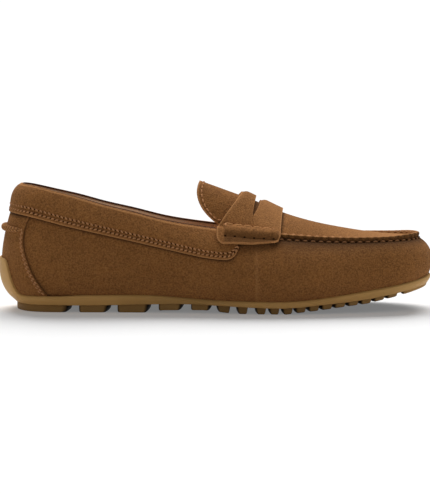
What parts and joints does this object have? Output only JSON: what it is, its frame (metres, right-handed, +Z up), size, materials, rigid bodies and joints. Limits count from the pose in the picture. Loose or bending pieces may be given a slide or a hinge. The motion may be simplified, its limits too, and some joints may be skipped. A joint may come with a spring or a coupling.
{
  "type": "moccasin loafer",
  "caption": "Right slip-on moccasin with a hollow suede upper, hand-sewn apron seam, slotted saddle strap, wide collar band and a lugged rubber sole that rises into a heel tab.",
  "frame": {"origin": "centre of the bounding box in plan, on the plane of the tread", "axes": "+X towards the toe, +Y towards the inner side of the foot, +Z up"},
  "size_m": [0.2893, 0.0995, 0.0849],
  "materials": {
    "suede": "napped matt",
    "lining": "smooth matt",
    "gum_rubber": "satin"
  },
  "bodies": {
    "root": {"upper": "suede", "outsole": "gum_rubber", "insole": "lining", "tongue": "suede", "collar_band": "suede", "heel_strip": "suede", "heel_roll": "suede", "apron_seam": "suede", "penny_strap": "suede"}
  },
  "joints": []
}
